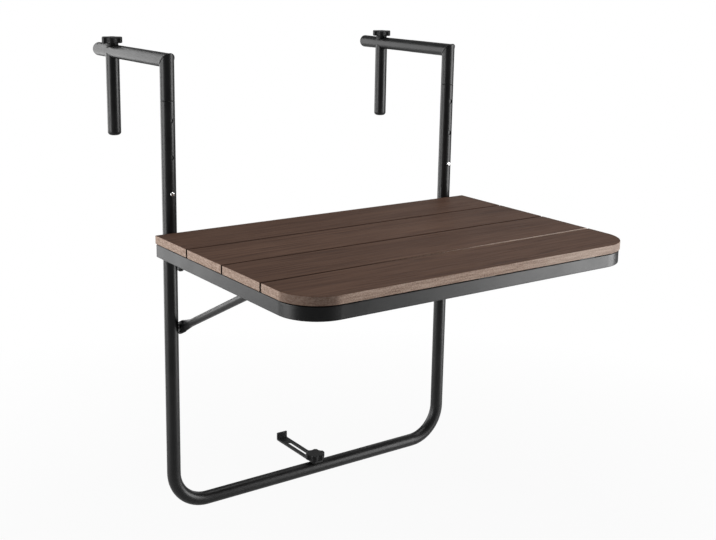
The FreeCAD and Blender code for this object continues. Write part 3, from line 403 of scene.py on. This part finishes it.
def new_piece(name, mesh, material, body, slot, *replaced):
    """A finished piece that rides on a body and may stand for CAD nodes."""
    piece = bpy.data.objects.new(name, mesh)
    bpy.context.scene.collection.objects.link(piece)
    mesh.materials.append(material)
    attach(piece, body)
    if replaced:
        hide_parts(*replaced)


def mesh_from(name, points, faces, smooth=True):
    """A mesh from points in millimetres, with doubles merged and normals outward."""
    mesh = bpy.data.meshes.new(name)
    mesh.from_pydata((np.asarray(points) * MM).tolist(), [], faces)
    shape = bmesh.new()
    shape.from_mesh(mesh)
    bmesh.ops.remove_doubles(shape, verts=shape.verts, dist=1e-6)
    bmesh.ops.recalc_face_normals(shape, faces=shape.faces)
    shape.to_mesh(mesh)
    shape.free()
    for face in mesh.polygons:
        face.use_smooth = smooth
    return mesh


def sharp_mesh(name, points, faces):
    """A mesh whose faces are smooth up to an angle between them."""
    mesh = mesh_from(name, points, faces)
    mesh.set_sharp_from_angle(angle=math.radians(SHARP_ANGLE))
    return mesh


def box_mm(node):
    """The low and high corners of a node's box, in millimetres."""
    return [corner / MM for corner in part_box(node)]


def join(parts):
    """Several lists of points and faces as one."""
    points, faces = [], []
    for more_points, more_faces in parts:
        start = len(points)
        points += list(more_points)
        faces += [tuple(corner + start for corner in face) for face in more_faces]
    return points, faces


def value_noise(across, up, seed):
    """Smooth noise from 0 to 1 over a repeating table of seeded numbers."""
    table = np.random.RandomState(seed).rand(256, 256)
    column, row = np.floor(across).astype(int), np.floor(up).astype(int)
    tx, ty = across - column, up - row
    tx, ty = tx * tx * (3 - 2 * tx), ty * ty * (3 - 2 * ty)

    def corner(right, above):
        return table[(column + right) % 256, (row + above) % 256]

    low = corner(0, 0) * (1 - tx) + corner(1, 0) * tx
    high = corner(0, 1) * (1 - tx) + corner(1, 1) * tx
    return low * (1 - ty) + high * ty


def grain_groove(x, y, index):
    """Depth from 0 to 1 of a board's embossed grain at a place in millimetres."""
    seed = SEEDS_PER_SLAT * index + FIRST_SEED
    x, y = x + 1000.0, y + 1000.0
    drift = 16 * value_noise(x / 210, y / 46, seed) + 4 * value_noise(x / 70, y / 17, seed + 1)
    lines = value_noise(x / 95, (y + drift) / 1.9, seed + 2)
    fine = value_noise(x / 38, (y + drift) / 1.4, seed + 3)
    depth = np.clip((0.65 * lines + 0.35 * fine - 0.52) / 0.22, 0, 1)
    patches = np.clip(value_noise(x / 120, y / 22, seed + 4) * 1.6 - 0.1, 0.25, 1)
    return depth * depth * (3 - 2 * depth) * patches


def steps_between(length, step):
    """Distances along an edge: close together in the rounded ends, then even."""
    inner = np.linspace(EDGE_ROUND, length - EDGE_ROUND, round((length - 2 * EDGE_ROUND) / step) + 1)
    start = np.array(ROUND_STEPS[:-1])
    return np.concatenate([start, inner, length - start[::-1]])


def round_drop(gap):
    """How far a rounded edge falls at a distance in from the outline."""
    return EDGE_ROUND - np.sqrt(EDGE_ROUND ** 2 - (EDGE_ROUND - gap) ** 2)


def edge_gap(x, y, box, rounded):
    """Distance in from a board's outline, counted up to the rounded edge's width."""
    x0, y0, x1, y1 = box
    beside = np.abs(x - (x0 + x1) / 2)
    gap = np.minimum(np.minimum((x1 - x0) / 2 - beside, y - y0), y1 - y)
    if rounded:
        over = beside - (x1 - x0) / 2 + CORNER_RADIUS
        under = CORNER_RADIUS - (y - y0)
        gap = np.where((over > 0) & (under > 0), CORNER_RADIUS - np.hypot(over, under), gap)
    return np.clip(gap, 0, EDGE_ROUND)


def rim_inward(rim, box, rounded):
    """Level vectors that point in from the rim of a board, mitred at its square corners."""
    x0, y0, x1, y1 = box
    near = 1e-4
    inward = np.zeros_like(rim)
    inward[:, 0] = (rim[:, 0] < x0 + near) * 1.0 - (rim[:, 0] > x1 - near)
    inward[:, 1] = (rim[:, 1] < y0 + near) * 1.0 - (rim[:, 1] > y1 - near)
    if rounded:
        for side, centre_x in ((-1, x0 + CORNER_RADIUS), (1, x1 - CORNER_RADIUS)):
            in_corner = ((rim[:, 0] - centre_x) * side > 0) & (rim[:, 1] < y0 + CORNER_RADIUS)
            spokes = np.array([centre_x, y0 + CORNER_RADIUS]) - rim[:, :2]
            lengths = np.linalg.norm(spokes, axis=1)[:, None] + near
            inward[in_corner, :2] = (spokes / lengths)[in_corner]
    return inward


def board_top(index, level, box, rounded):
    """Rows and columns of points over a board's top, with the grain pressed into it."""
    x0, y0, x1, y1 = box
    along, across = steps_between(x1 - x0, COLUMN_STEP), steps_between(y1 - y0, ROW_STEP)
    half = np.full(len(across), (x1 - x0) / 2)
    if rounded:
        run = np.clip(CORNER_RADIUS - across, 0, None)
        half += np.sqrt(CORNER_RADIUS ** 2 - run ** 2) - CORNER_RADIUS
    x = (x0 + x1) / 2 + np.outer(half, along / (x1 - x0) * 2 - 1)
    y = y0 + np.outer(across, np.ones(len(along)))
    gap = edge_gap(x, y, box, rounded)
    groove = grain_groove(x, y, index) * np.clip((gap - GROOVE_MARGIN) / (EDGE_ROUND - GROOVE_MARGIN), 0, 1)
    return np.stack([x, y, level - round_drop(gap) - GROOVE_DEPTH * groove], -1)


def slat_mesh(name, index, node):
    """A board with its edges rounded and the grain pressed into its top."""
    (x0, y0, z0), (x1, y1, z1) = box_mm(node)
    box = x0, y0, x1, y1
    rounded = index == SLATS - 1
    top = board_top(index, z1, box, rounded)
    rows, columns = top.shape[:2]
    points = top.reshape(-1, 3)
    number = np.arange(rows * columns).reshape(rows, columns)
    faces = [
        (number[r, c], number[r, c + 1], number[r + 1, c + 1], number[r + 1, c])
        for r in range(rows - 1) for c in range(columns - 1)
    ]
    ring = np.concatenate([number[0, :-1], number[:-1, -1], number[-1, :0:-1], number[:0:-1, 0]])
    rim = points[ring]
    inward = rim_inward(rim, box, rounded)
    count = len(ring)
    layers = [points]
    before = ring
    for step, gap in enumerate(ROUND_STEPS):
        level = rim + inward * gap
        level[:, 0] = np.clip(level[:, 0], x0 + gap, x1 - gap)
        level[:, 1] = np.clip(level[:, 1], y0 + gap, y1 - gap)
        level[:, 2] = z0 + round_drop(gap)
        layers.append(level)
        now = len(points) + step * count + np.arange(count)
        for a in range(count):
            b = (a + 1) % count
            faces.append((before[a], now[a], now[b], before[b]))
        before = now
    faces.append(tuple(before[::-1]))
    mesh = mesh_from(name, np.concatenate(layers), faces)
    places = np.array([vertex.co for vertex in mesh.vertices]) / MM
    values = grain_groove(places[:, 0], places[:, 1], index) * (places[:, 2] > z1 - EDGE_ROUND)
    attribute = mesh.attributes.new("groove", "FLOAT", "POINT")
    attribute.data.foreach_set("value", values.astype(np.float32))
    return mesh


def make_slats(material):
    for index in range(SLATS):
        node = f"slat_{index + 1}"
        name = f"{node}_board"
        new_piece(name, slat_mesh(name, index, node), material, "table", "slat_board", node)


def sweep(path, closed, radius, flatten, out):
    """Points and faces of a rippled bead along a path, in millimetres."""
    path = np.asarray(path, float)
    after = np.roll(path, -1, axis=0) if closed else np.vstack([path[1:], 2 * path[-1] - path[-2]])
    before = np.roll(path, 1, axis=0) if closed else np.vstack([2 * path[0] - path[1], path[:-1]])
    tangents = after - before
    tangents /= np.linalg.norm(tangents, axis=1)[:, None]
    outward = np.asarray(out, float)
    outward = outward - tangents * np.sum(outward * tangents, axis=1)[:, None]
    outward /= np.linalg.norm(outward, axis=1)[:, None]
    beside = np.cross(tangents, outward)
    travelled = np.arange(len(path)) * WELD_STEP
    sizes = radius * (1 + WELD_RIPPLE_SHARE * np.abs(np.sin(travelled / WELD_RIPPLE * math.pi)))
    if not closed:
        ends = np.minimum(travelled, travelled[-1] - travelled)
        sizes = sizes * np.clip(0.25 + ends / radius, 0, 1)
    points, faces = [], []
    for centre, up, side, size in zip(path, outward, beside, sizes):
        for spoke in range(WELD_SIDES):
            angle = 2 * math.pi * spoke / WELD_SIDES
            points.append(centre + up * math.cos(angle) * size * flatten + side * math.sin(angle) * size)
    count = len(path)
    for ring in range(count if closed else count - 1):
        for spoke in range(WELD_SIDES):
            beyond = (spoke + 1) % WELD_SIDES
            a, b = ring * WELD_SIDES, (ring + 1) % count * WELD_SIDES
            faces.append((a + spoke, b + spoke, b + beyond, a + beyond))
    if not closed:
        faces.append(tuple(range(WELD_SIDES)))
        faces.append(tuple(range((count - 1) * WELD_SIDES, count * WELD_SIDES)))
    return points, faces


def make_hook_welds(material):
    """The bead round the mitre between each hook's stub and arm, thinner on its inner side."""
    count = round(2 * math.pi * TUBE_RADIUS * MITRE_STRETCH / WELD_STEP)
    turn = np.linspace(0, 2 * math.pi, count, endpoint=False)
    rise = np.sin(turn)
    out = np.stack([np.cos(turn), rise * 0.5, -rise * 0.5], -1)
    size = MITRE_WELD_RADIUS * np.clip(0.62 + 0.38 * rise, 0.3, 1)
    for side, sign in (("left", -1), ("right", 1)):
        x = sign * UPRIGHT_X + TUBE_RADIUS * np.cos(turn)
        path = np.stack([x, TUBE_RADIUS * (rise - 1), TUBE_RADIUS * (1 - rise)], -1)
        name = f"{side}_mitre_weld"
        mesh = mesh_from(name, *sweep(path, True, size, MITRE_WELD_FLATTEN, out))
        new_piece(name, mesh, material, f"{side}_hook", "black_steel")


def bead(start, end, out):
    """A straight bead that faces a direction."""
    start, end = np.array(start), np.array(end)
    count = max(2, round(np.linalg.norm(end - start) / WELD_STEP))
    path = [start + (end - start) * k / count for k in range(count)] + [end]
    return sweep(path, False, WELD_RADIUS, WELD_FLATTEN, out)


def make_table_welds(material):
    """Beads where the ears, the guides and the rail meet the cross bar."""
    bar_low, bar_high = box_mm("rear_cross_bar")
    low, high, front, back = bar_low.z, bar_high.z, bar_low.y, bar_high.y
    rail_back = box_mm("table_rail")[1].y
    ear_low, ear_high = box_mm("right_pivot_ear")
    guide_low, guide_high = box_mm("right_strut_guide")
    beads = []
    for sign in (-1, 1):
        x = sign * bar_high.x
        beads.append(bead((x, rail_back, low), (x, front, low), (0, 0, -1)))
        beads.append(bead((x, front, low), (x, front, high), (-sign, -1, 0)))
        for face, way in ((ear_low.x, -1), (ear_high.x, 1)):
            x, out = sign * face, sign * way
            beads.append(bead((x, back, low), (x, back, ear_high.z), (out, 1, 0)))
            beads.append(bead((x, front, low), (x, back, low), (out, 0, -1)))
        for face, way in ((guide_low.x, -1), (guide_high.x, 1)):
            x, out = sign * face, sign * way
            beads.append(bead((x, front, low), (x, front, high), (out, -1, 0)))
            tip = RAIL_BEND.y - math.sqrt(RAIL_BEND_RADIUS ** 2 - (face - RAIL_BEND.x) ** 2)
            beads.append(bead((x, tip, low), (x, tip, high), (out, 1, 0)))
    new_piece("table_welds", mesh_from("table_welds", *join(beads)), material, "table", "black_steel")


def lathe(profile, sides):
    """A closed turned shape about Z from radii and heights, ending on the axis at both ends."""
    points, faces = [], []
    rings = []
    for radius, height in profile:
        if radius == 0:
            rings.append([len(points)] * sides)
            points.append((0, 0, height))
        else:
            rings.append(list(range(len(points), len(points) + sides)))
            angles = [2 * math.pi * k / sides for k in range(sides)]
            points += [(radius * math.cos(angle), radius * math.sin(angle), height) for angle in angles]
    for low, high in zip(rings[:-1], rings[1:]):
        for k in range(sides):
            after = (k + 1) % sides
            loop = []
            for corner in (low[k], low[after], high[after], high[k]):
                if corner not in loop:
                    loop.append(corner)
            faces.append(tuple(loop))
    return points, faces


def recess(outline, taper, depth, proud):
    """A cutter for a recess from above a face at height 0, narrower at its bottom."""
    count = len(outline)
    points = [(x * taper, y * taper, depth) for x, y in outline] + [(x, y, -proud) for x, y in outline]
    faces = [tuple(range(count)), tuple(range(count, 2 * count))]
    faces += [(k, (k + 1) % count, (k + 1) % count + count, k + count) for k in range(count)]
    return points, faces


def cut(shape, cutters):
    """A turned shape with recesses cut into it, as points and faces in millimetres."""
    body = bpy.data.objects.new("blank", mesh_from("blank", *shape, smooth=False))
    bpy.context.scene.collection.objects.link(body)
    tools = []
    for points, faces in cutters:
        tool = bpy.data.objects.new("tool", mesh_from("tool", points, faces, smooth=False))
        bpy.context.scene.collection.objects.link(tool)
        modifier = body.modifiers.new("cut", "BOOLEAN")
        modifier.operation = "DIFFERENCE"
        modifier.solver = "EXACT"
        modifier.object = tool
        tools.append(tool)
    bpy.context.view_layer.update()
    result = body.evaluated_get(bpy.context.evaluated_depsgraph_get()).to_mesh()
    points = [tuple(vertex.co / MM) for vertex in result.vertices]
    faces = [tuple(face.vertices) for face in result.polygons]
    for item in tools + [body]:
        data = item.data
        bpy.data.objects.remove(item)
        bpy.data.meshes.remove(data)
    return points, faces


def place_copies(shape, matrices):
    """Copies of a shape at places given in millimetres."""
    points, faces = shape
    return join([([tuple(matrix @ Vector(point)) for point in points], faces) for matrix in matrices])


def make_slat_screws(material):
    """Pan heads with cross recesses under the strips."""
    end = SCREW_HEAD + SCREW_REACH
    profile = [(0, end), (SCREW_SHANK * 0.6, end), (SCREW_SHANK, end - SCREW_TIP), (SCREW_SHANK, SCREW_HEAD)]
    profile += [(SCREW_RADIUS * across, SCREW_HEAD * up) for across, up in SCREW_HEAD_PROFILE]
    profile.append((0, 0))
    arms = (RECESS_ARM, RECESS_HALF_WIDTH), (RECESS_HALF_WIDTH, RECESS_ARM)
    outlines = [[(-a, -b), (a, -b), (a, b), (-a, b)] for a, b in arms]
    cutters = [recess(outline, RECESS_TAPER, RECESS_DEPTH, RECESS_PROUD) for outline in outlines]
    shape = cut(lathe(profile, SCREW_SIDES), cutters)
    level = box_mm("slat_screws")[0].z
    places = []
    for index in range(SLATS):
        board_low, board_high = box_mm(f"slat_{index + 1}")
        for batten in (-1, 0, 1):
            for spot, y in enumerate((board_low.y + SCREW_INSET, board_high.y - SCREW_INSET)):
                angle = TURN_PER_SLAT * index + TURN_PER_BATTEN * batten + TURN_PER_SPOT * spot
                place = Matrix.Translation((batten * BATTEN_PITCH, y, level))
                places.append(place @ Matrix.Rotation(angle, 4, "Z"))
    mesh = sharp_mesh("slat_screw_heads", *place_copies(shape, places))
    new_piece("slat_screw_heads", mesh, material, "table", "zinc_steel", "slat_screws")


def make_bolts(material):
    """Button-head bolts with hexagon sockets at the pivots."""
    dome = [(BOLT_RADIUS * math.cos(angle), BOLT_DOME * (math.sin(DOME_END) - math.sin(angle)))
            for angle in np.linspace(0, DOME_END, 7)]
    corners = [k * math.pi / 3 for k in range(6)]
    hexagon = [(SOCKET_RADIUS * math.cos(angle), SOCKET_RADIUS * math.sin(angle)) for angle in corners]
    socket = recess(hexagon, SOCKET_TAPER, SOCKET_DEPTH, SOCKET_PROUD)
    for name in ("pivot_bolts", "strut_bolts"):
        low, high = box_mm(name)
        inner = min(abs(vertex.co.x) for vertex in NODES[name].data.vertices) / MM
        length = high.x - inner
        profile = [(0, length), (BOLT_SHANK * 0.8, length), (BOLT_SHANK, length - BOLT_CHAMFER),
                   (BOLT_SHANK, BOLT_HEAD), (BOLT_RADIUS, BOLT_HEAD), *dome, (0, 0)]
        shape = cut(lathe(profile, BOLT_SIDES), [socket])
        middle = (low + high) / 2
        places = []
        for sign in (-1, 1):
            turn = Matrix.Rotation(sign * math.pi / 2, 4, "Y")
            places.append(Matrix.Translation((sign * inner, middle.y, middle.z)) @ turn)
        mesh = sharp_mesh(f"{name}_socket", *place_copies(shape, places))
        new_piece(f"{name}_socket", mesh, material, "frame", "zinc_steel", name)


BOARDS = [f"slat_{index + 1}" for index in range(SLATS)]
PLASTIC = [name for name in NODES if name.endswith(("_cap", "_caps", "_spacers", "_insert", "_knob"))]
PLASTIC += ["left_clamp_washer", "right_clamp_washer"]
BUTTONS = ["left_snap_button", "right_snap_button"]
ZINC = [name for name in NODES if name.endswith(("_nut", "_nuts", "_bolts", "_stud", "_pin", "_spring"))]
ZINC += ["slat_screws", "stabiliser_washer"]

bpy.context.scene.view_settings.view_transform = "Standard"
make_camera()
make_stage()
make_world()
make_lights()
BOARD, COAT, MOULDED, PLATED = board_material(), coat_material(), plastic_material(), zinc_material()
assign(BOARD, BOARDS)
assign(MOULDED, PLASTIC)
assign(button_material(), BUTTONS)
assign(PLATED, ZINC)
assign(COAT, [name for name in NODES if name not in BOARDS + PLASTIC + BUTTONS + ZINC])
make_slats(BOARD)
make_hook_welds(COAT)
make_table_welds(COAT)
make_slat_screws(PLATED)
make_bolts(PLATED)
